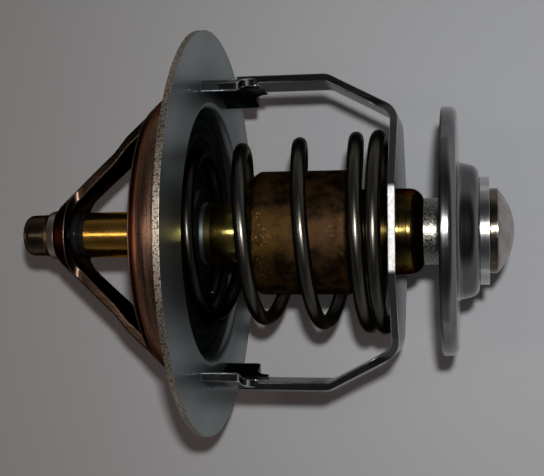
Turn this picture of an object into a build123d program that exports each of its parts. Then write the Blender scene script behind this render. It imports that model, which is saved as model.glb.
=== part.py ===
from build123d import *
import math
import os

os.makedirs("parts", exist_ok=True)

# Engine thermostat with a bypass valve, in mm. X is its axis, from the nose to the bypass end.
# The zero of X is the spring side of the flange.

# Clearances
slip = 0.05
run = 0.03
guide_run = 0.07
eps = 0.01

# Flange
flange_r = 27.0
flange_t = 0.8
recess_depth = 2.4
recess_round = 0.9
seat_width = 2.8
skirt_seat = 0.15

# Bridge
bridge_t = 1.1
skirt_rise = 1.25
ring_len = 2.35
leg_half_ring = 4.0
leg_half_nose = 3.0
nose_x = -26.5
thimble_len = 3.2
step_len = 0.6
neck_len = 1.1
neck_rise = 0.7
step_rise = 0.45
shoulder_len = 0.55
shoulder_rise = 0.82
shoulder_in = 1.4
neck_room = 0.5
window_back = 2.4
root_from = 6.1
root_len = 1.8
root_rise = 0.55
root_round = 1.5
nose_wall = 0.75
nose_end_wall = 0.8
nose_round = 1.1

# Piston and the pieces that push it
piston_r = 2.0
plug_len = 6.6
backup_t = 0.8
mouth_cone = 1.0

# Main valve
valve_t = 0.9
valve_gap = 0.5
dish_depth = 1.5
dish_room = 0.73
dish_gap = 0.7
hub_rise = 1.65
hub_width = 2.9
hub_slant = 0.5
clip_t = 0.7
clip_gap = 3.0

# Guide
guide_wall = 1.47
guide_step = 0.7
guide_relief = 0.4
seal_len = 1.85
seal_rib = 0.3
guide_show = 6.55
guide_flange_t = 1.6
groove_depth = 0.65

# Wax cup
cup_r = 8.2
cup_wall = 0.9
cup_len = 13.7
cup_lip_t = 0.7
cup_lip_step = 0.9
cup_chamfer = 1.5
valve_travel = 5.0
travel_room = 0.2
pilot_r = 5.65
pilot_wall = 0.95
pilot_reach = 3.0
pilot_round = 2.0
diaphragm_t = 1.1

# Yoke
yoke_t = 1.0
foot_gap = 0.75
leg_half = 3.7
leg_run = 9.2
leg_slope = 27.5
plate_half = 11.2
plate_flat = 5.3
neck_width = 2.1
neck_drop = 2.1
neck_start = 0.8
foot_half = 7.6
foot_len = 4.9
foot_blend = 1.8
tongue_half = 3.0

# Main spring, with the places of its closed ends as angles round the coil
wire_d = 1.9
spring_room = 1.57
spring_flare = 1.8
coil_shift = 0.41
start_angle = -144.0
end_angle = 1620.0
rise_angle = -162.0
risen_angle = 367.2
fall_angle = 795.6
fallen_angle = 1724.4

# Bypass valve
spacer_r = 4.35
spacer_show = 2.3
bypass_r = 16.1
bypass_t = 0.9
bypass_rim_len = 2.0
boss_height = 2.7
boss_base_r = 8.95
boss_taper = 0.65
washer_r = 6.97
washer_t = 1.27
rivet_shank_r = 2.0
rivet_head_r = 5.48
rivet_side = 1.0
rivet_dome = 2.15
rivet_hold = 2.2

# Radii, from the cup outwards
spring_r0 = cup_r + spring_room + wire_d / 2
spring_r1 = spring_r0 + spring_flare
dish_in = spring_r0 + wire_d / 2 + dish_room
dish_out = dish_in + valve_t
port_r = dish_out + dish_gap
recess_r = port_r + seat_width
boss_r = recess_r + flange_t
skirt_in = boss_r + slip
skirt_out = skirt_in + bridge_t
yoke_r = skirt_out + foot_gap + yoke_t
bore_r = piston_r + run
guide_seat_r = bore_r + guide_wall
guide_neck_r = guide_seat_r - guide_relief
guide_body_r = guide_seat_r + guide_step
groove_r = guide_seat_r - groove_depth
hub_r = guide_seat_r + hub_width
cup_in = cup_r - cup_wall
thimble_r = piston_r + slip + nose_wall
neck_r = thimble_r + neck_rise
step_r = thimble_r + step_rise

# Places along the axis, from the flange to the nose
floor_x = -recess_depth
cone_foot_x = floor_x - flange_t - skirt_rise
ring_edge_x = cone_foot_x - ring_len
thimble_x = nose_x + thimble_len
step_x = thimble_x + step_len
neck_x = step_x + neck_len
window_nose_x = neck_x + window_back
guide_top_x = window_nose_x - 4 * slip
seal_x = guide_top_x + seal_len

# Places along the axis, from the flange to the bypass end
ring_x = floor_x + valve_t
dish_x = ring_x - dish_depth
hub_x = dish_x + hub_rise
clip_x = hub_x - valve_t
cup_start_x = hub_x + guide_show
guide_flange_x = cup_start_x + cup_lip_t
diaphragm_x = guide_flange_x + guide_flange_t
wax_x = diaphragm_x + diaphragm_t
plug_x = diaphragm_x - mouth_cone
backup_end_x = plug_x - plug_len
piston_end_x = backup_end_x - backup_t
cup_shoulder_x = cup_start_x + cup_len
seat_x = cup_shoulder_x + valve_travel + travel_room
plate_x = seat_x + yoke_t
leg_bend_x = plate_x - leg_run
pilot_end_x = plate_x + pilot_reach
bypass_rim_x = pilot_end_x + spacer_show
face_x = bypass_rim_x + bypass_rim_len
boss_x = face_x + boss_height
boss_in_x = boss_x - bypass_t
washer_end_x = boss_x + washer_t


def turned(points):
    """A solid turned about the X axis from a closed outline of (x, radius) points."""
    return revolve(make_face(Polyline(*points, close=True)), Axis.X)


def rounded(points, rounds):
    """A closed outline of (x, radius) points with some of its corners rounded."""
    face = make_face(Polyline(*points, close=True))
    for number, radius in rounds.items():
        x, y = points[number]
        corner = face.vertices().sort_by_distance(Vector(x, y, 0))[0]
        face = fillet(corner, radius)
    return face


def tube(x0, x1, r_out, r_in=0.0):
    """A tube or a rod along X."""
    return turned([(x0, r_in), (x1, r_in), (x1, r_out), (x0, r_out)])


def save(solid, name):
    solid.label = name
    export_step(solid, f"parts/{name}.step")


# Flange: a disc pressed into a shallow recess that is open to the port
flange_outline = [
    (0, flange_r),
    (0, recess_r),
    (floor_x, recess_r),
    (floor_x, port_r),
    (floor_x - flange_t, port_r),
    (floor_x - flange_t, boss_r),
    (-flange_t + skirt_seat, boss_r),
    (-flange_t + skirt_seat, skirt_out + slip),
    (-flange_t, skirt_out + slip),
    (-flange_t, flange_r),
]
flange = revolve(rounded(flange_outline, {1: recess_round, 2: 0.3, 5: 0.6}), Axis.X)
slot_shell = tube(-2 * flange_t, flange_t, yoke_r + slip, yoke_r - yoke_t - slip)
flange -= slot_shell & Box(4 * flange_t, 3 * flange_r, 2 * (tongue_half + slip))
save(flange, "flange")

# Bridge: a skirt on the recess, a cone with two open windows and a closed nose
thimble_end_x = nose_x + nose_end_wall
cone_end_x = neck_x + shoulder_len
slope = (skirt_out - neck_r - shoulder_rise) / (cone_foot_x - cone_end_x)
cone_drop = bridge_t * math.hypot(1, slope)
cone_in_x = cone_end_x + shoulder_in
root_x = ring_edge_x - root_from + root_len
neck_in = piston_r + slip + neck_room


def cone_r(x):
    return skirt_out + slope * (x - cone_foot_x)


skirt_x = -flange_t + skirt_seat
inner_foot_x = cone_foot_x + (skirt_in + cone_drop - root_rise - skirt_out) / slope
bridge_outline = [
    (skirt_x, skirt_in),
    (skirt_x, skirt_out),
    (cone_foot_x - root_rise / slope, skirt_out),
    (root_x, cone_r(root_x) + root_rise),
    (root_x - root_len, cone_r(root_x - root_len)),
    (cone_end_x, cone_r(cone_end_x)),
    (neck_x, neck_r),
    (step_x, step_r),
    (thimble_x, thimble_r + 0.05),
    (nose_x, thimble_r - 0.05),
    (nose_x, 0),
    (thimble_end_x, 0),
    (thimble_end_x, piston_r + slip),
    (thimble_x, piston_r + slip),
    (step_x, neck_in),
    (neck_x + shoulder_len, neck_in),
    (cone_in_x, cone_r(cone_in_x) - cone_drop),
    (root_x - root_len, cone_r(root_x - root_len) - cone_drop),
    (root_x, cone_r(root_x) + root_rise - cone_drop),
    (inner_foot_x, skirt_in),
]
bridge_rounds = {2: 2 * bridge_t, 3: root_round, 4: root_round, 6: 0.6, 9: nose_round}
bridge_rounds |= {16: 0.6, 17: root_round, 18: root_round, 19: bridge_t}
bridge = revolve(rounded(bridge_outline, bridge_rounds), Axis.X)
window_points = [
    (ring_edge_x, leg_half_ring),
    (ring_edge_x, flange_r),
    (window_nose_x, flange_r),
    (window_nose_x, leg_half_nose),
]
window = rounded(window_points, {0: 1.8, 3: 1.5})
window = extrude(window, flange_r, both=True).rotate(Axis.X, 90)
bridge -= window
bridge -= window.mirror(Plane.XY)
save(bridge, "bridge")

# Piston with its back-up disc
piston = tube(thimble_end_x, piston_end_x, piston_r)
piston = chamfer(piston.edges().sort_by(Axis.X)[0], 0.3)
save(piston, "piston")
save(tube(piston_end_x, backup_end_x, piston_r), "backup_disc")

# Main valve: a flat ring on the recess floor, a dished spring seat and a raised hub
valve_outline = [
    (floor_x, recess_r - valve_gap),
    (ring_x, recess_r - valve_gap),
    (ring_x, dish_in),
    (dish_x, dish_in),
    (dish_x, hub_r + hub_slant),
    (hub_x, hub_r - hub_slant),
    (hub_x, guide_seat_r + slip),
    (hub_x - valve_t, guide_seat_r + slip),
    (hub_x - valve_t, hub_r - hub_slant - valve_t),
    (dish_x - valve_t, hub_r + hub_slant - valve_t),
    (dish_x - valve_t, dish_out),
    (floor_x, dish_out),
]
valve_rounds = {2: 0.5, 3: 0.4, 4: 0.5, 5: 0.9, 9: 0.5, 10: 0.6}
save(revolve(rounded(valve_outline, valve_rounds), Axis.X), "main_valve")

# Clip in a groove of the guide, against the under side of the hub
clip_out = hub_r - hub_slant - valve_t - 0.3
clip_in = guide_seat_r + 0.3
prong_end = (clip_in + clip_out) / 2
clip = tube(clip_x - clip_t, clip_x, clip_out, clip_in)
prong = Pos(clip_x - clip_t / 2, (prong_end + groove_r) / 2, 0)
prong = prong * Box(clip_t, prong_end - groove_r, clip_gap / 2)
for turn in (0, 115, 245):
    clip += prong.rotate(Axis.X, turn)
clip -= Pos(clip_x, -clip_out, 0) * Box(4 * clip_t, 2 * clip_out, clip_gap)
save(clip, "valve_clip")

# Guide: a stepped brass sleeve whose flange is held in the cup
guide_outline = [
    (seal_x, bore_r),
    (seal_x, guide_neck_r),
    (clip_x - clip_t - 1.5 * guide_relief, guide_neck_r),
    (clip_x - clip_t - guide_relief / 2, guide_seat_r),
    (clip_x - clip_t, guide_seat_r),
    (clip_x - clip_t, groove_r),
    (clip_x, groove_r),
    (clip_x, guide_seat_r),
    (hub_x, guide_seat_r),
    (hub_x, guide_body_r),
    (guide_flange_x, guide_body_r),
    (guide_flange_x, cup_in - slip),
    (diaphragm_x, cup_in - slip),
    (diaphragm_x, bore_r + mouth_cone + 0.2),
    (diaphragm_x - mouth_cone - 0.2, bore_r),
]
save(revolve(rounded(guide_outline, {9: 0.3}), Axis.X), "guide")

# Ribbed rubber seal on the end of the guide
seal_mid_x = (guide_top_x + seal_x) / 2
seal_outline = [
    (guide_top_x, bore_r),
    (guide_top_x, guide_neck_r),
    (seal_mid_x - seal_rib, guide_neck_r),
    (seal_mid_x, guide_neck_r - seal_rib),
    (seal_mid_x + seal_rib, guide_neck_r),
    (seal_x, guide_neck_r),
    (seal_x, bore_r),
]
save(revolve(rounded(seal_outline, {1: seal_rib, 2: seal_rib, 4: seal_rib}), Axis.X), "guide_seal")

# Rubber diaphragm with a small cone that fills the mouth of the guide, and the rubber plug on it
diaphragm_outline = [
    (plug_x, 0),
    (plug_x, bore_r),
    (diaphragm_x, bore_r + mouth_cone),
    (diaphragm_x, cup_in - slip),
    (wax_x, cup_in - slip),
    (wax_x, 0),
]
save(turned(diaphragm_outline), "diaphragm")
save(tube(backup_end_x, plug_x, piston_r), "plug")

# Wax cup: a crimped mouth, a wide body and a smaller pilot that slides in the yoke
pilot_in = pilot_r - pilot_wall
wax_end_x = pilot_end_x - rivet_hold - 0.6
cup_outline = [
    (cup_start_x, guide_body_r + slip),
    (cup_start_x, cup_r - cup_lip_step),
    (cup_start_x + cup_chamfer, cup_r),
    (cup_shoulder_x, cup_r),
    (cup_shoulder_x, pilot_r),
    (pilot_end_x, pilot_r),
    (pilot_end_x, rivet_shank_r + slip),
    (pilot_end_x - rivet_hold, rivet_shank_r + slip),
    (pilot_end_x - rivet_hold, 0),
    (wax_end_x, 0),
    (wax_end_x, pilot_in),
    (cup_shoulder_x - cup_wall, pilot_in),
    (cup_shoulder_x - cup_wall, cup_in),
    (guide_flange_x, cup_in),
    (guide_flange_x, guide_body_r + slip),
]
cup_rounds = {1: 0.3, 2: 0.5, 3: 0.8, 5: pilot_round}
save(revolve(rounded(cup_outline, cup_rounds), Axis.X), "wax_cup")

# Wax that fills the cup behind the diaphragm
wax_outline = [
    (wax_x, 0),
    (wax_x, cup_in - slip),
    (cup_shoulder_x - cup_wall - slip, cup_in - slip),
    (cup_shoulder_x - cup_wall - slip, pilot_in - slip),
    (wax_end_x, pilot_in - slip),
    (wax_end_x, 0),
]
save(turned(wax_outline), "wax_charge")

# Yoke: a bent strip with a wide end plate, two curved feet and tongues in the flange
lean = math.radians(leg_slope)
bend_in_x = leg_bend_x - yoke_t * math.tan(lean / 2)
corner_y = yoke_r - (plate_x - leg_bend_x) * math.tan(lean)
corner_in_y = yoke_r - yoke_t - (seat_x - bend_in_x) * math.tan(lean)
strip_start_x = foot_len - 1.0
strip_outline = [
    (strip_start_x, yoke_r),
    (leg_bend_x, yoke_r),
    (plate_x, corner_y),
    (plate_x, 0),
    (seat_x, 0),
    (seat_x, corner_in_y),
    (bend_in_x, yoke_r - yoke_t),
    (strip_start_x, yoke_r - yoke_t),
]
strip_rounds = {1: 2.5, 2: 3.0, 5: 2.0, 6: 1.5}
half_strip = extrude(rounded(strip_outline, strip_rounds), 2 * plate_half, both=True)
strip = half_strip + half_strip.mirror(Plane.XZ)
plate_points = [
    (yoke_r + yoke_t, leg_half),
    (corner_y + neck_start, leg_half),
    (corner_y - neck_drop, leg_half + neck_width),
    (plate_flat, plate_half),
]
plate_points += [(-y, z) for y, z in reversed(plate_points)]
plate_points += [(y, -z) for y, z in reversed(plate_points)]
plan_rounds = {1: 2.0, 2: 2.0, 3: 1.0, 4: 1.0, 5: 2.0, 6: 2.0}
plan_rounds |= {9: 2.0, 10: 2.0, 11: 1.0, 12: 1.0, 13: 2.0, 14: 2.0}
plan = Plane.YZ * rounded(plate_points, plan_rounds)
yoke = strip & extrude(plan, 2 * plate_x)
foot_points = [
    (0, foot_half),
    (foot_len, foot_half),
    (foot_len, leg_half),
    (foot_len + foot_blend, leg_half),
]
foot_points += [(x, -z) for x, z in reversed(foot_points)]
foot_rounds = {1: 0.6, 2: foot_blend - eps, 5: foot_blend - eps, 6: 0.6}
foot_plan = extrude(rounded(foot_points, foot_rounds), 2 * yoke_r, both=True)
foot_plan = foot_plan.rotate(Axis.X, 90)
yoke += tube(0, foot_len + foot_blend, yoke_r, yoke_r - yoke_t) & foot_plan
yoke += tube(-flange_t, 0, yoke_r, yoke_r - yoke_t) & Box(4 * flange_t, 3 * flange_r, 2 * tongue_half)
yoke -= tube(seat_x - yoke_t, plate_x + yoke_t, pilot_r + guide_run)
save(yoke, "yoke")

# Main spring: a conical coil of round wire with closed ends and a slight lean
spring_x0 = dish_x + wire_d / 2 + slip
spring_x1 = seat_x - wire_d / 2


def smooth(value):
    value = min(max(value, 0.0), 1.0)
    return value * value * (3 - 2 * value)


def pitch_share(angle):
    rise = smooth((angle - rise_angle) / (risen_angle - rise_angle))
    return rise * (1 - smooth((angle - fall_angle) / (fallen_angle - fall_angle)))


fine = 1200
step = (end_angle - start_angle) / fine
angles = [start_angle + step * n for n in range(fine + 1)]
climb = [0.0]
for n in range(fine):
    climb.append(climb[-1] + pitch_share(angles[n] + step / 2))
coil = []
for n in range(0, fine + 1, 15):
    share = climb[n] / climb[-1]
    angle = math.radians(angles[n])
    radius = spring_r0 + (spring_r1 - spring_r0) * share
    x = spring_x0 + (spring_x1 - spring_x0) * share
    x += coil_shift * pitch_share(angles[n]) * math.cos(angle)
    coil.append((x, radius * math.cos(angle), radius * math.sin(angle)))
spring_line = Spline(*coil)
wire_section = Plane(spring_line @ 0, z_dir=spring_line % 0) * Circle(wire_d / 2)
save(sweep(wire_section, path=spring_line, is_frenet=True), "main_spring")

# Bypass valve: spacer, pressed disc with a boss, washer and domed rivet
rivet_hole = rivet_shank_r + slip
boss_top_r = boss_base_r - boss_taper
save(tube(pilot_end_x, boss_in_x, spacer_r, rivet_hole), "bypass_spacer")
disc_outline = [
    (bypass_rim_x, bypass_r),
    (face_x, bypass_r),
    (face_x, boss_base_r),
    (boss_x, boss_top_r),
    (boss_x, rivet_hole),
    (boss_in_x, rivet_hole),
    (boss_in_x, boss_top_r - bypass_t),
    (face_x - bypass_t, boss_base_r - bypass_t),
    (face_x - bypass_t, bypass_r - bypass_t),
    (bypass_rim_x, bypass_r - bypass_t),
]
disc_rounds = {0: 0.3, 1: 1.0, 2: 0.5, 3: 1.3, 6: 0.4, 7: 1.1}
save(revolve(rounded(disc_outline, disc_rounds), Axis.X), "bypass_disc")
washer = tube(boss_x, washer_end_x, washer_r, rivet_hole)
washer = fillet(washer.edges().sort_by_distance(Vector(boss_x, 2 * washer_r, 0))[0], 0.12)
save(washer, "bypass_washer")
dome_x = washer_end_x + rivet_side
tip_x = dome_x + rivet_dome
mid_share = 0.62
dome_radius = (rivet_head_r**2 + rivet_dome**2) / (2 * rivet_dome)
mid_r = rivet_head_r * mid_share
mid_x = tip_x - dome_radius + math.sqrt(dome_radius**2 - mid_r**2)
rivet_line = Polyline(
    (tip_x, 0),
    (pilot_end_x - rivet_hold, 0),
    (pilot_end_x - rivet_hold, rivet_shank_r),
    (washer_end_x, rivet_shank_r),
    (washer_end_x, rivet_head_r - 0.15),
    (washer_end_x + 0.15, rivet_head_r),
    (dome_x, rivet_head_r),
)
rivet_arc = ThreePointArc((dome_x, rivet_head_r), (mid_x, mid_r), (tip_x, 0))
save(revolve(make_face([rivet_line, rivet_arc]), Axis.X), "bypass_rivet")
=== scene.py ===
import math

import bmesh
import bpy
from mathutils import Matrix, Vector


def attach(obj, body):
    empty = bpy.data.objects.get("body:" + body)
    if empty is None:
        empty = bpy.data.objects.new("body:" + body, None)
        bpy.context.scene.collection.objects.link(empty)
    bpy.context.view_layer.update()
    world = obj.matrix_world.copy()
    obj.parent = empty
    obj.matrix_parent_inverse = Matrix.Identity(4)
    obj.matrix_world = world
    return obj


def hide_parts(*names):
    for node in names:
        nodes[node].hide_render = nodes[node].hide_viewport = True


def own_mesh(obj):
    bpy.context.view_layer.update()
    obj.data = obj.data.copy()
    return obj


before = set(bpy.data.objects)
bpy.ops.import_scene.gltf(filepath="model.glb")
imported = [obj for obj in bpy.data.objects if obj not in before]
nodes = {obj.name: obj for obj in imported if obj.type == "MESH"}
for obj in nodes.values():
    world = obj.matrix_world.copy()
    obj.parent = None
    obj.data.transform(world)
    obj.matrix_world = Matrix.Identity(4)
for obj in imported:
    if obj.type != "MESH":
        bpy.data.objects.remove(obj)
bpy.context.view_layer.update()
scene = bpy.context.scene
scene.view_settings.view_transform = "Standard"
MM = 0.001

# Camera at the photo's place
LENS = 74.6
SENSOR_WIDTH = 36.0
CLIP_NEAR, CLIP_FAR = 0.005, 10.0
CAMERA_PLACE = Vector((34.958, -5.434, 147.94)) * MM
RIGHT = Vector((0.98361, -0.00450, -0.18025)).normalized()
ROUGH_UP = Vector((0.01014, 0.99949, 0.03037)).normalized()
BACK = RIGHT.cross(ROUGH_UP).normalized()
UP = BACK.cross(RIGHT).normalized()
camera_data = bpy.data.cameras.new("camera")
camera_data.lens = LENS
camera_data.sensor_width = SENSOR_WIDTH
camera_data.clip_start = CLIP_NEAR
camera_data.clip_end = CLIP_FAR
camera = bpy.data.objects.new("camera", camera_data)
scene.collection.objects.link(camera)
camera.matrix_world = Matrix.Translation(CAMERA_PLACE) @ Matrix((RIGHT, UP, BACK)).transposed().to_4x4()
scene.camera = camera

# Sockets of the mix node, for colours and for plain values
COLOUR_A, COLOUR_B, COLOUR_RESULT = 6, 7, 2
VALUE_A, VALUE_B = 2, 3
BEVEL_SAMPLES = 8


class Tree:
    """A small helper that writes nodes into a shader tree."""

    def __init__(self, tree):
        self.tree = tree

    def add(self, kind, **settings):
        node = self.tree.nodes.new(kind)
        for key, value in settings.items():
            setattr(node, key, value)
        return node

    def link(self, source, target):
        self.tree.links.new(source, target)

    def feed(self, value, socket):
        if isinstance(value, bpy.types.NodeSocket):
            self.link(value, socket)
        else:
            socket.default_value = value

    def math(self, operation, a, b=None):
        node = self.add("ShaderNodeMath", operation=operation)
        self.feed(a, node.inputs[0])
        if b is not None:
            self.feed(b, node.inputs[1])
        return node.outputs[0]

    def times(self, a, b):
        return self.math("MULTIPLY", a, b)

    def plus(self, a, b):
        return self.math("ADD", a, b)

    def length(self, a, b):
        return self.math("SQRT", self.plus(self.times(a, a), self.times(b, b)))

    def split(self, vector):
        node = self.add("ShaderNodeSeparateXYZ")
        self.link(vector, node.inputs[0])
        return node.outputs

    def vector(self, x, y, z):
        node = self.add("ShaderNodeCombineXYZ")
        for value, socket in zip((x, y, z), node.inputs):
            self.feed(value, socket)
        return node.outputs[0]

    def dot(self, a, b):
        node = self.add("ShaderNodeVectorMath", operation="DOT_PRODUCT")
        self.link(a, node.inputs[0])
        self.link(b, node.inputs[1])
        return node.outputs["Value"]

    def ramp(self, value, low, high, to_low=0.0, to_high=1.0):
        """A smooth step from to_low to to_high as the value goes from low to high."""
        node = self.add("ShaderNodeMapRange", interpolation_type="SMOOTHSTEP")
        self.feed(value, node.inputs[0])
        for number, limit in enumerate((low, high, to_low, to_high)):
            node.inputs[number + 1].default_value = limit
        return node.outputs[0]

    def mix(self, share, a, b):
        """A colour between a and b."""
        node = self.add("ShaderNodeMix", data_type="RGBA")
        self.feed(share, node.inputs[0])
        for value, number in ((a, COLOUR_A), (b, COLOUR_B)):
            if not isinstance(value, bpy.types.NodeSocket):
                value = (*value, 1.0)
            self.feed(value, node.inputs[number])
        return node.outputs[COLOUR_RESULT]

    def mix_value(self, share, a, b):
        """A plain value between a and b."""
        node = self.add("ShaderNodeMix")
        for value, number in ((share, 0), (a, VALUE_A), (b, VALUE_B)):
            self.feed(value, node.inputs[number])
        return node.outputs[0]


class Look(Tree):
    """One material, with the object's own axes and the marks that making and wear leave."""

    def __init__(self, name):
        self.material = bpy.data.materials.new(name)
        self.material.use_nodes = True
        super().__init__(self.material.node_tree)
        self.shader = self.tree.nodes["Principled BSDF"]
        self.place = self.add("ShaderNodeTexCoord").outputs["Object"]
        self.x, self.y, self.z = self.split(self.place)
        self.radius = self.length(self.y, self.z)
        self.angle = self.math("ARCTAN2", self.z, self.y)

    def along(self, start, end, to_start=0.0, to_end=1.0):
        """A smooth step along the axis, between two places in millimetres."""
        return self.ramp(self.x, start * MM, end * MM, to_start, to_end)

    def outward(self, start, end, to_start=0.0, to_end=1.0):
        """A smooth step across the axis, between two radii in millimetres."""
        return self.ramp(self.radius, start * MM, end * MM, to_start, to_end)

    def band(self, start, full, fade, end):
        """A band along the axis with soft ends, in millimetres."""
        return self.times(self.along(start, full), self.along(end, fade))

    def faces(self, axis):
        """How far the surface faces along one axis of the object, from -1 to 1."""
        return self.split(self.add("ShaderNodeTexCoord").outputs["Normal"])[axis]

    def flat_normal(self):
        return self.add("ShaderNodeNewGeometry").outputs["Normal"]

    def soft_edge(self, radius):
        """The slightly rounded edge that pressing and plating leave, in millimetres."""
        node = self.add("ShaderNodeBevel", samples=BEVEL_SAMPLES)
        node.inputs[0].default_value = radius * MM
        return node.outputs[0]

    def edge(self, rounded, low=0.02, high=0.16):
        """How near a point is to a sharp edge, from the turn of its rounded normal."""
        turn = self.dot(rounded, self.flat_normal())
        return self.ramp(self.math("SUBTRACT", 1.0, turn), low, high)

    def noise(self, scale, detail=4.0, rough=0.55, vector=None):
        node = self.add("ShaderNodeTexNoise")
        self.link(self.place if vector is None else vector, node.inputs["Vector"])
        node.inputs["Scale"].default_value = scale
        node.inputs["Detail"].default_value = detail
        node.inputs["Roughness"].default_value = rough
        return node.outputs[0]

    def turned(self, scale, detail=3.0):
        """Fine rings round the axis, as a lathe leaves them."""
        return self.noise(scale, detail, 0.6, self.vector(self.x, self.radius, 0.0))

    def drawn(self, around, along):
        """Streaks along the axis, as drawing through a die leaves them."""
        vector = self.vector(self.times(self.angle, around), self.times(self.x, along), 0.0)
        return self.noise(1.0, 4.0, 0.6, vector)

    def bump(self, height, strength, depth, normal=None):
        """A fine relief, its depth in millimetres."""
        node = self.add("ShaderNodeBump")
        node.inputs["Strength"].default_value = strength
        node.inputs["Distance"].default_value = depth * MM
        self.link(height, node.inputs["Height"])
        if normal is not None:
            self.link(normal, node.inputs["Normal"])
        return node.outputs[0]

    def dull(self, tint):
        """Holds back the bright sheen that a clean metal has at grazing angles."""
        self.shader.inputs["Specular Tint"].default_value = (*tint, 1.0)

    def finish(self, colour, roughness, normal=None, metallic=1.0):
        self.link(colour, self.shader.inputs["Base Color"])
        self.link(roughness, self.shader.inputs["Roughness"])
        self.shader.inputs["Metallic"].default_value = metallic
        if normal is not None:
            self.link(normal, self.shader.inputs["Normal"])
        return self.material


def zinc():
    """Zinc plate on the flange, darkened inside and round the recess as painted shade, with a paler
    speckled cut edge round its rim.
    """
    n = Look("zinc_plate")
    n.dull((0.55, 0.60, 0.60))
    cloud = n.noise(70.0, 3.0)
    grain = n.noise(1500.0, 3.0)
    rub = n.noise(1.0, 4.0, 0.6, n.vector(n.times(n.y, 260.0), n.times(n.z, 2600.0), n.x))
    face = n.mix(n.ramp(cloud, 0.3, 0.7), (0.37, 0.392, 0.402), (0.44, 0.462, 0.472))
    face = n.mix(n.ramp(rub, 0.52, 0.78, 0.0, 0.2), face, (0.34, 0.36, 0.37))
    # Painted shade: the face inside the recess is darkened
    recess_shade = n.times(n.along(-0.15, -0.6), n.outward(18.2, 17.8))
    face = n.mix(n.times(recess_shade, n.ramp(cloud, 0.2, 0.8, 0.55, 0.9)), face, (0.15, 0.165, 0.165))
    # Painted shade: a darker ring round the recess, where shade falls
    stain = n.times(n.outward(25.0, 19.0), n.ramp(cloud, 0.25, 0.75, 0.45, 0.65))
    face = n.mix(stain, face, (0.13, 0.142, 0.143))
    dots = n.noise(4600.0, 1.0, 0.5)
    cut = n.mix(n.ramp(dots, 0.50, 0.62), (0.42, 0.35, 0.285), (0.08, 0.065, 0.05))
    rim = n.outward(26.9, 26.97)
    rough = n.plus(n.ramp(grain, 0.3, 0.7, 0.30, 0.35), n.times(rim, 0.08))
    normal = n.bump(grain, 0.02, 0.01, n.soft_edge(0.10))
    return n.finish(n.mix(rim, face, cut), rough, n.bump(n.times(rim, dots), 0.4, 0.04, normal))


def bronze():
    """Drawn bronze sheet: draw rings round the ring and its conical part, dark polished legs, a smooth dark
    thimble, with painted shade on the conical part and the knuckle and painted highlights on the bead, the
    collar and the worn edges.
    """
    fine = 8200.0
    skirt_start, skirt_end = -9.4, -7.2
    n = Look("bronze_sheet")
    n.dull((0.16, 0.10, 0.075))
    rounds = n.vector(n.times(n.x, fine), n.times(n.angle, 1.8), n.times(n.radius, fine))
    ring = n.noise(1.0, 5.0, 0.65, rounds)
    cloud = n.noise(260.0, 4.0)
    grain = n.noise(3400.0, 3.0)
    lines = n.drawn(150.0, 110.0)
    skirt = n.along(skirt_start, skirt_end)
    streaks = n.mix(n.ramp(ring, 0.38, 0.66), (0.135, 0.070, 0.047), (0.265, 0.150, 0.102))
    streaks = n.mix(n.ramp(grain, 0.50, 0.66, 0.0, 0.55), streaks, (0.050, 0.026, 0.018))
    legs = n.mix(n.ramp(lines, 0.35, 0.68), (0.036, 0.022, 0.016), (0.070, 0.044, 0.032))
    colour = n.mix(skirt, legs, streaks)
    # Painted shade: the conical part left of the skirt is turned nearly black
    cone_shade = n.times(skirt, n.along(-5.6, -6.1, 0.0, 0.92))
    colour = n.mix(cone_shade, colour, (0.022, 0.012, 0.008))
    # Painted highlight: a thin pale line on the bead at the ring's left edge
    bead_highlight = n.band(-6.76, -6.70, -6.64, -6.58)
    colour = n.mix(n.times(bead_highlight, 0.5), colour, (0.46, 0.40, 0.37))
    nose = n.mix(n.ramp(cloud, 0.35, 0.65), (0.070, 0.053, 0.036), (0.110, 0.084, 0.058))
    colour = n.mix(n.along(-22.6, -22.75), colour, nose)
    # Painted shade: the knuckle where the legs meet the nose is darkened
    knuckle_shade = n.band(-21.75, -21.6, -17.2, -15.4)
    colour = n.mix(n.times(knuckle_shade, 0.9), colour, (0.030, 0.019, 0.013))
    # Painted highlight: a pale band round the collar at the thimble's step
    collar_highlight = n.band(-22.75, -22.6, -21.75, -21.6)
    colour = n.mix(collar_highlight, colour, (0.34, 0.285, 0.245))
    rounded = n.soft_edge(0.30)
    edge = n.times(n.edge(rounded), n.ramp(cloud, 0.3, 0.6, 0.45, 1.0))
    # Edges worn lighter; the pale edge colour is partly a painted highlight along them
    worn = n.times(edge, n.along(skirt_start, skirt_end, 0.28, 0.75))
    colour = n.mix(worn, colour, (0.60, 0.46, 0.39))
    streaked = n.times(skirt, n.ramp(ring, 0.35, 0.68, 0.16, 0.24))
    nose_rough = n.times(n.along(-14.0, -19.0), 0.13)
    rough = n.plus(n.plus(n.ramp(cloud, 0.3, 0.7, 0.12, 0.18), streaked), nose_rough)
    rough = n.plus(rough, n.times(edge, 0.14))
    height = n.mix_value(n.along(-19.0, -20.0), n.mix_value(skirt, lines, ring), grain)
    return n.finish(colour, rough, n.bump(height, 0.10, 0.03, rounded))


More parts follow.
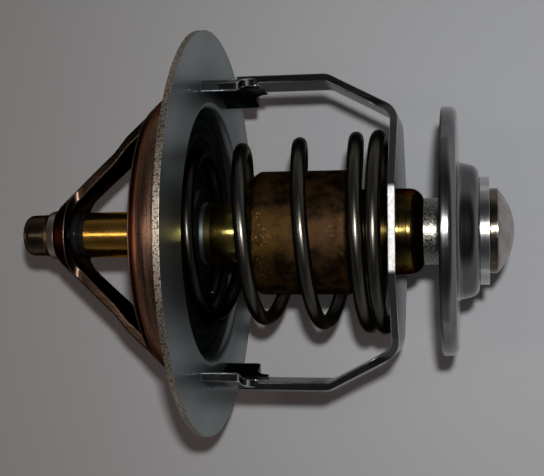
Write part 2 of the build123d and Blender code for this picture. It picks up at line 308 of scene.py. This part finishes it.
def plated():
    """Bright plate on the yoke: faint rubs and a matt sheared edge on its end plate, with painted shade on
    the cut edges, the inner faces and the sheared edge's borders, and painted highlights along the rounded
    edges.
    """
    plate_middle = 24.6 * MM
    n = Look("bright_plate")
    n.dull((0.26, 0.26, 0.27))
    cloud = n.noise(120.0, 3.0)
    grain = n.noise(1800.0, 3.0)
    crumble = n.noise(2600.0, 4.0, 0.6)
    stretched = n.vector(n.times(n.x, 160.0), n.times(n.y, 160.0), n.times(n.z, 2400.0))
    rub = n.noise(1.0, 3.0, 0.6, stretched)
    colour = n.mix(n.ramp(cloud, 0.3, 0.7), (0.38, 0.38, 0.39), (0.49, 0.49, 0.495))
    colour = n.mix(n.ramp(rub, 0.58, 0.8, 0.0, 0.25), colour, (0.36, 0.36, 0.36))
    # Painted shade: faces turned in towards the axis, the yoke's inner faces, are darkened
    facing_out = n.math("DIVIDE", n.dot(n.flat_normal(), n.vector(0.0, n.y, n.z)), n.radius)
    inner_shade = n.times(n.ramp(facing_out, -0.3, -0.7), n.outward(11.0, 13.0, 0.0, 0.85))
    colour = n.mix(inner_shade, colour, (0.085, 0.085, 0.088))
    # Painted shade: faces turned along the z axis, the cut edges of the legs and end plate, are darkened
    cut_edge_shade = n.ramp(n.math("ABSOLUTE", n.faces(2)), 0.6, 0.9)
    colour = n.mix(cut_edge_shade, colour, (0.125, 0.125, 0.13))
    depth = n.math("ABSOLUTE", n.z)
    sheared = n.ramp(depth, 11.0 * MM, 11.12 * MM)
    rounded = n.soft_edge(0.26)
    # Painted highlight: rounded edges are painted near white, as bright lines along them
    edge = n.times(n.edge(rounded, 0.03, 0.14), n.ramp(cloud, 0.3, 0.6, 0.7, 1.0))
    edge = n.times(edge, n.ramp(depth, 11.12 * MM, 10.8 * MM))
    colour = n.mix(edge, colour, (0.90, 0.90, 0.89))
    torn = n.mix(n.ramp(crumble, 0.4, 0.6), (0.20, 0.197, 0.192), (0.26, 0.256, 0.25))
    colour = n.mix(sheared, colour, torn)
    # Painted shade: the sheared edge goes dark at its two rounded borders
    border_shade = n.ramp(n.math("ABSOLUTE", n.math("SUBTRACT", n.x, plate_middle)), 0.36 * MM, 0.44 * MM)
    colour = n.mix(n.times(sheared, border_shade), colour, (0.05, 0.05, 0.05))
    rough = n.plus(n.ramp(grain, 0.3, 0.7, 0.08, 0.11), n.times(sheared, 0.40))
    rough = n.plus(rough, n.times(edge, 0.14))
    normal = n.bump(grain, 0.03, 0.01, rounded)
    return n.finish(colour, rough, n.bump(n.times(sheared, crumble), 0.10, 0.04, normal))


def valve_plate():
    """Dull zinc on the main valve."""
    n = Look("valve_plate")
    n.dull((0.12, 0.13, 0.13))
    cloud = n.noise(160.0, 4.0)
    rings = n.turned(1300.0)
    colour = n.mix(n.ramp(cloud, 0.3, 0.7), (0.050, 0.057, 0.058), (0.088, 0.096, 0.096))
    colour = n.mix(n.ramp(rings, 0.55, 0.75, 0.0, 0.4), colour, (0.036, 0.038, 0.037))
    rough = n.ramp(rings, 0.3, 0.7, 0.28, 0.38)
    return n.finish(colour, rough, n.bump(rings, 0.10, 0.02, n.soft_edge(0.15)))


def brass():
    """Turned brass: a worn orange shaft, a steel-coloured shoulder made bright as a painted highlight, then
    a dull and a clean band.
    """
    shaft_end, clean_start = -5.0, -3.0
    n = Look("turned_brass")
    n.dull((0.45, 0.32, 0.10))
    rings = n.turned(2400.0)
    stain = n.noise(300.0, 5.0, 0.6)
    scuff = n.drawn(16.0, 90.0)
    clean = n.mix(n.ramp(rings, 0.35, 0.65), (0.60, 0.43, 0.105), (0.76, 0.57, 0.16))
    shaft = n.mix(n.ramp(scuff, 0.35, 0.65), (0.50, 0.255, 0.040), (0.72, 0.39, 0.078))
    colour = n.mix(n.along(clean_start, shaft_end), clean, shaft)
    colour = n.mix(n.ramp(stain, 0.52, 0.72, 0.0, 0.6), colour, (0.30, 0.22, 0.055))
    dull = n.band(-1.5, -1.45, 0.18, 0.28)
    colour = n.mix(dull, colour, (0.15, 0.115, 0.055))
    # Painted highlight: a bright steel colour on the shoulder next to the valve's hub
    shoulder = n.band(-1.5, -1.45, -0.68, -0.60)
    colour = n.mix(shoulder, colour, (0.56, 0.62, 0.62))
    rough = n.plus(n.ramp(stain, 0.35, 0.7, 0.12, 0.18), n.along(shaft_end, clean_start, 0.08, 0.0))
    rough = n.plus(rough, n.times(dull, 0.16))
    return n.finish(colour, rough, n.bump(rings, 0.10, 0.03, n.soft_edge(0.12)))


def old_brass():
    """The cup's brass, dark brown with age, worn to gold in specks, and its cleaner pilot end."""
    n = Look("old_brass")
    n.dull((0.20, 0.13, 0.06))
    patina = n.noise(420.0, 6.0, 0.65)
    speck = n.noise(3200.0, 3.0, 0.6)
    rings = n.turned(2600.0)
    wear = n.times(n.ramp(speck, 0.57, 0.72), n.ramp(n.noise(260.0, 3.0), 0.40, 0.60))
    gold = n.times(wear, n.along(6.5, 11.5, 1.0, 0.14))
    tone = n.mix(n.along(8.0, 15.0), (0.056, 0.030, 0.008), (0.052, 0.027, 0.012))
    colour = n.mix(n.ramp(patina, 0.35, 0.65), (0.011, 0.007, 0.004), tone)
    colour = n.mix(gold, colour, (0.36, 0.205, 0.060))
    pilot = n.outward(5.9, 5.75)
    clean = n.mix(n.ramp(patina, 0.35, 0.65), (0.050, 0.033, 0.010), (0.145, 0.103, 0.028))
    colour = n.mix(pilot, colour, clean)
    old = n.math("SUBTRACT", n.ramp(patina, 0.3, 0.7, 0.52, 0.66), n.times(gold, 0.20))
    rough = n.mix_value(pilot, old, n.ramp(rings, 0.3, 0.7, 0.15, 0.24))
    return n.finish(colour, rough, n.bump(n.mix_value(pilot, speck, rings), 0.35, 0.03, n.soft_edge(0.15)))


def sleeve():
    """Coarsely turned steel that sparkles along its tool marks."""
    n = Look("coarse_turned")
    rings = n.turned(2000.0, 4.0)
    grit = n.noise(5200.0, 2.0, 0.6)
    colour = n.mix(n.ramp(grit, 0.38, 0.62), (0.11, 0.10, 0.085), (0.36, 0.345, 0.30))
    rough = n.ramp(grit, 0.3, 0.7, 0.24, 0.42)
    return n.finish(colour, rough, n.bump(grit, 0.40, 0.03, n.bump(rings, 0.2, 0.03)))


def satin():
    """Satin steel on the bypass disc, with faint press rings and a few spots, and painted shade on its back
    and on the flanks of its raised centre.
    """
    n = Look("satin_steel")
    cloud = n.noise(130.0, 4.0)
    rings = n.turned(1500.0)
    spot = n.noise(900.0, 4.0, 0.6)
    facing_end = n.faces(0)
    colour = n.mix(n.ramp(cloud, 0.3, 0.7), (0.215, 0.215, 0.22), (0.285, 0.282, 0.282))
    colour = n.mix(n.ramp(spot, 0.6, 0.75, 0.0, 0.5), colour, (0.14, 0.135, 0.13))
    # Painted shade: faces turned back towards the yoke are darkened
    back_shade = n.ramp(facing_end, 0.10, -0.40, 0.0, 0.85)
    colour = n.mix(back_shade, colour, (0.045, 0.045, 0.047))
    # Painted shade: the flanks of the raised centre are darkened
    boss_shade = n.times(n.along(32.6, 33.2, 0.0, 0.6), n.ramp(facing_end, 0.85, 0.5))
    colour = n.mix(boss_shade, colour, (0.08, 0.08, 0.083))
    rough = n.ramp(rings, 0.3, 0.7, 0.11, 0.17)
    return n.finish(colour, rough, n.bump(rings, 0.08, 0.02, n.soft_edge(0.45)))


def bright_washer():
    """A bright washer with fine lathe rings."""
    n = Look("washer_plate")
    rings = n.turned(2800.0)
    cloud = n.noise(350.0, 4.0)
    colour = n.mix(n.ramp(cloud, 0.35, 0.65), (0.56, 0.56, 0.555), (0.72, 0.72, 0.71))
    rough = n.ramp(rings, 0.3, 0.7, 0.12, 0.20)
    return n.finish(colour, rough, n.bump(rings, 0.15, 0.03, n.soft_edge(0.12)))


def rivet_head():
    """The headed rivet: a satin dome over a smoother, browner side."""
    n = Look("rivet_steel")
    grain = n.noise(1900.0, 4.0, 0.6)
    cloud = n.noise(500.0, 4.0)
    dome = n.mix(n.ramp(cloud, 0.35, 0.65), (0.42, 0.385, 0.36), (0.54, 0.50, 0.475))
    side = n.mix(n.ramp(cloud, 0.35, 0.65), (0.085, 0.066, 0.046), (0.19, 0.162, 0.13))
    high = n.along(37.2, 37.7)
    rough = n.mix_value(high, n.ramp(grain, 0.3, 0.7, 0.14, 0.22), n.ramp(grain, 0.3, 0.7, 0.34, 0.46))
    return n.finish(n.mix(high, side, dome), rough, n.bump(grain, 0.16, 0.03))


def wire():
    """Drawn spring wire: dark, with long draw lines along its length, and painted shade darkening it
    further down in the recess.
    """
    n = Look("drawn_wire")
    n.dull((0.25, 0.24, 0.21))
    run, turn, _ = n.split(n.add("ShaderNodeUVMap").outputs[0])
    lines = n.noise(1.0, 4.0, 0.6, n.vector(n.times(run, 160.0), n.times(turn, 38.0), 0.0))
    spots = n.noise(1.0, 5.0, 0.6, n.vector(n.times(run, 900.0), n.times(turn, 9.0), 0.0))
    colour = n.mix(n.ramp(lines, 0.35, 0.65), (0.065, 0.060, 0.050), (0.113, 0.105, 0.088))
    colour = n.mix(n.ramp(spots, 0.55, 0.75, 0.0, 0.6), colour, (0.055, 0.045, 0.032))
    # Painted shade: the lowest coils, down in the recess, are darkened
    low = n.times(n.along(4.2, 1.2), 0.85)
    colour = n.mix(low, colour, (0.018, 0.017, 0.015))
    return n.finish(colour, n.ramp(lines, 0.3, 0.7, 0.24, 0.32), n.bump(lines, 0.08, 0.02))


def ground():
    """Ground steel on the hidden piston."""
    n = Look("ground_steel")
    rings = n.turned(4000.0)
    colour = n.mix(n.ramp(rings, 0.35, 0.65), (0.52, 0.52, 0.53), (0.66, 0.66, 0.67))
    return n.finish(colour, n.ramp(rings, 0.3, 0.7, 0.10, 0.2), n.bump(rings, 0.08, 0.02))


def clip_steel():
    """Dark spring steel."""
    n = Look("clip_steel")
    cloud = n.noise(600.0, 4.0)
    colour = n.mix(n.ramp(cloud, 0.35, 0.65), (0.16, 0.16, 0.17), (0.27, 0.27, 0.27))
    return n.finish(colour, n.ramp(cloud, 0.3, 0.7, 0.26, 0.4), n.bump(cloud, 0.1, 0.03))


def moulded(name, dark, light, rough, scale, shine=0.5):
    """A moulded rubber, plastic or wax, with a soft mottle and a faint skin."""
    n = Look(name)
    cloud = n.noise(scale, 4.0)
    skin = n.noise(scale * 7.0, 3.0)
    colour = n.mix(n.ramp(cloud, 0.35, 0.65), dark, light)
    n.shader.inputs["Specular IOR Level"].default_value = shine
    skin_rough = n.ramp(skin, 0.3, 0.7, rough - 0.06, rough + 0.06)
    return n.finish(colour, skin_rough, n.bump(skin, 0.15, 0.04), metallic=0.0)


rubber = moulded("moulded_rubber", (0.004, 0.0038, 0.0035), (0.008, 0.0075, 0.007), 0.20, 400.0, 0.06)
looks = {
    "flange": zinc(),
    "bridge": bronze(),
    "yoke": plated(),
    "main_valve": valve_plate(),
    "guide": brass(),
    "guide_seal": rubber,
    "wax_cup": old_brass(),
    "bypass_spacer": sleeve(),
    "bypass_disc": satin(),
    "bypass_washer": bright_washer(),
    "bypass_rivet": rivet_head(),
    "piston": ground(),
    "valve_clip": clip_steel(),
    "backup_disc": moulded("white_plastic", (0.78, 0.78, 0.76), (0.84, 0.84, 0.82), 0.42, 300.0),
    "plug": rubber,
    "diaphragm": rubber,
    "wax_charge": moulded("wax", (0.72, 0.62, 0.38), (0.80, 0.72, 0.48), 0.45, 250.0),
}
for name, look in looks.items():
    mesh = nodes[name].data
    mesh.materials.clear()
    mesh.materials.append(look)

# Main spring, as one smooth mesh of round wire
# Each pair is a turn of the coil in degrees and the share of the spring's rise there
COIL_SHARES = [
    (-144, 0.0), (0, 0.010), (90, 0.038), (180, 0.083), (270, 0.155), (360, 0.239), (450, 0.318),
    (540, 0.364), (630, 0.449), (720, 0.547), (810, 0.618), (900, 0.675), (990, 0.760), (1080, 0.846),
    (1170, 0.887), (1260, 0.915), (1350, 0.945), (1440, 0.967), (1530, 0.972), (1584, 0.982), (1638, 1.0),
]
COIL_R0, COIL_R1 = 10.72 * MM, 12.52 * MM
COIL_X0, COIL_X1 = -2.0 * MM, 23.15 * MM
COIL_STEPS, WIRE_SIDES = 620, 20
WIRE_R = 0.95 * MM
WIRE_END = 0.12 * MM


def coil_slope(number):
    """How fast the coil rises at one of its measured turns."""
    low, high = max(number - 1, 0), min(number + 1, len(COIL_SHARES) - 1)
    return (COIL_SHARES[high][1] - COIL_SHARES[low][1]) / (COIL_SHARES[high][0] - COIL_SHARES[low][0])


def coil_share(angle):
    """The share of the rise at any turn, on a smooth curve through the measured ones."""
    number = max(k for k in range(len(COIL_SHARES) - 1) if COIL_SHARES[k][0] <= angle)
    (a0, y0), (a1, y1) = COIL_SHARES[number], COIL_SHARES[number + 1]
    gap = a1 - a0
    t = (angle - a0) / gap
    start = y0 * (1 + 2 * t) * (1 - t) ** 2 + coil_slope(number) * gap * t * (1 - t) ** 2
    return start + y1 * t * t * (3 - 2 * t) - coil_slope(number + 1) * gap * t * t * (1 - t)


def coil_point(angle):
    """The middle of the wire at one turn."""
    share = coil_share(angle)
    radius = COIL_R0 + (COIL_R1 - COIL_R0) * share
    turn = math.radians(angle)
    return Vector((COIL_X0 + (COIL_X1 - COIL_X0) * share, radius * math.cos(turn), radius * math.sin(turn)))


def wire_rings(steps):
    """The place, direction and radius of each ring of the wire, with its two ends chamfered."""
    first, last = COIL_SHARES[0][0], COIL_SHARES[-1][0]
    points = [coil_point(first + (last - first) * k / steps) for k in range(steps + 1)]
    ways = [(points[min(k + 1, steps)] - points[max(k - 1, 0)]).normalized() for k in range(steps + 1)]
    insets = {0: WIRE_END, steps: -WIRE_END}
    rings = [(points[0], ways[0], WIRE_R - WIRE_END)]
    for k, (point, way) in enumerate(zip(points, ways)):
        rings.append((point + way * insets.get(k, 0.0), way, WIRE_R))
    rings.append((points[-1], ways[-1], WIRE_R - WIRE_END))
    return rings


def wire_mesh(name, steps, sides):
    """A closed tube along the coil, with the run along the wire and the turn round it as its UV map."""
    rings = wire_rings(steps)
    turns = [2 * math.pi * s / sides for s in range(sides)]
    form = bmesh.new()
    layer = form.loops.layers.uv.new("run")
    loops = []
    runs = []
    run = 0.0
    for k, (point, way, radius) in enumerate(rings):
        if k:
            run += (point - rings[k - 1][0]).length
        runs.append(run)
        out = Vector((0.0, point.y, point.z)).normalized()
        side = way.cross(out).normalized()
        out = side.cross(way).normalized()
        spokes = [out * math.cos(t) + side * math.sin(t) for t in turns]
        loops.append([form.verts.new(point + spoke * radius) for spoke in spokes])
    for k in range(len(loops) - 1):
        for s in range(sides):
            t = (s + 1) % sides
            face = form.faces.new((loops[k][s], loops[k][t], loops[k + 1][t], loops[k + 1][s]))
            face.smooth = True
            for corner, (u, v) in zip(face.loops, ((k, s), (k, s + 1), (k + 1, s + 1), (k + 1, s))):
                corner[layer].uv = (runs[u], v / sides)
    form.faces.new(loops[0])
    form.faces.new(loops[-1])
    bmesh.ops.recalc_face_normals(form, faces=form.faces)
    mesh = bpy.data.meshes.new(name)
    form.to_mesh(mesh)
    form.free()
    return mesh


spring = bpy.data.objects.new("spring_coil", wire_mesh("spring_coil", COIL_STEPS, WIRE_SIDES))
scene.collection.objects.link(spring)
spring.data.materials.append(wire())
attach(spring, "frame")
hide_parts("main_spring")
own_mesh(spring)

# Floor: a sheet with a painted light falloff, darker to the left and lighter past the bypass end, lit near
# the part and seen at one even grey far from it
FLOOR_SIZE, FLOOR_Z = 4.0, -27.0 * MM
FAR_GREY = (0.32, 0.32, 0.327)
FAR_START, FAR_FULL = 0.055, 0.15
bpy.ops.mesh.primitive_plane_add(size=FLOOR_SIZE, location=(0, 0, FLOOR_Z))
floor = bpy.context.object
floor.name = "floor"
sheet = Look("floor_sheet")
# Painted light: the sheet's colour darkens to the left and brightens past the bypass end
tone = sheet.mix(sheet.ramp(sheet.x, -0.06, 0.09), (0.232, 0.233, 0.231), (0.39, 0.398, 0.418))
paper = sheet.ramp(sheet.noise(900.0, 3.0), 0.3, 0.7, 0.6, 0.7)
floor.data.materials.append(sheet.finish(tone, paper, metallic=0.0))
sheet.shader.inputs["Specular IOR Level"].default_value = 0.2
rays = sheet.add("ShaderNodeLightPath").outputs
mirrored = sheet.math("MAXIMUM", rays["Is Glossy Ray"], rays["Is Transmission Ray"])
seen = sheet.math("MAXIMUM", rays["Is Camera Ray"], mirrored)
far = sheet.times(seen, sheet.ramp(sheet.length(sheet.x, sheet.y), FAR_START, FAR_FULL))
far_sheet = sheet.add("ShaderNodeEmission")
far_sheet.inputs[0].default_value = (*FAR_GREY, 1.0)
both = sheet.add("ShaderNodeMixShader")
sheet.link(far, both.inputs[0])
sheet.link(sheet.shader.outputs[0], both.inputs[1])
sheet.link(far_sheet.outputs[0], both.inputs[2])
sheet.link(both.outputs[0], sheet.tree.nodes["Material Output"].inputs["Surface"])

# World: dark overhead, with a grey horizon that is brighter past the bypass end
# The camera itself sees the far floor's grey
world = bpy.data.worlds.new("world")
scene.world = world
world.use_nodes = True
sky = Tree(world.node_tree)
way_x, _, way_z = sky.split(sky.add("ShaderNodeTexCoord").outputs["Generated"])
horizon = sky.ramp(way_x, -0.2, 0.6, 0.13, 0.36)
light = sky.mix(sky.ramp(way_z, 0.15, 0.70), horizon, (0.035, 0.035, 0.037))
backdrop = sky.mix(sky.add("ShaderNodeLightPath").outputs["Is Camera Ray"], light, FAR_GREY)
sky.link(backdrop, world.node_tree.nodes["Background"].inputs[0])


def area(name, place, target, size, power, colour=(1, 1, 1)):
    """A round area light that looks at a target."""
    data = bpy.data.lights.new(name, "AREA")
    data.shape = "DISK"
    data.size = size
    data.energy = power
    data.color = colour
    lamp = bpy.data.objects.new(name, data)
    scene.collection.objects.link(lamp)
    lamp.location = Vector(place)
    lamp.rotation_mode = "QUATERNION"
    lamp.rotation_quaternion = (Vector(target) - Vector(place)).to_track_quat("-Z", "Y")
    return lamp


# Lights: a key close by the camera, a weak warm panel and a red glow on the left, and a strip overhead
CENTRE = (0.006, 0.0, 0.0)
STRIP_TARGET = (-0.010, 0.0, 0.0)
area("key", (0.040, 0.009, 0.16), CENTRE, size=0.006, power=0.26)
area("warm", (-0.30, -0.012, 0.022), CENTRE, size=0.11, power=0.07, colour=(1.0, 0.66, 0.55))
glow = area("glow", (-0.22, -0.14, 0.09), CENTRE, size=0.10, power=0.075, colour=(1.0, 0.45, 0.34))
glow.visible_glossy = False
strip = area("strip", (-0.155, 0.0, 0.47), STRIP_TARGET, size=0.05, power=0.15, colour=(1.0, 0.94, 0.84))
strip.data.shape = "RECTANGLE"
strip.data.size_y = 0.17
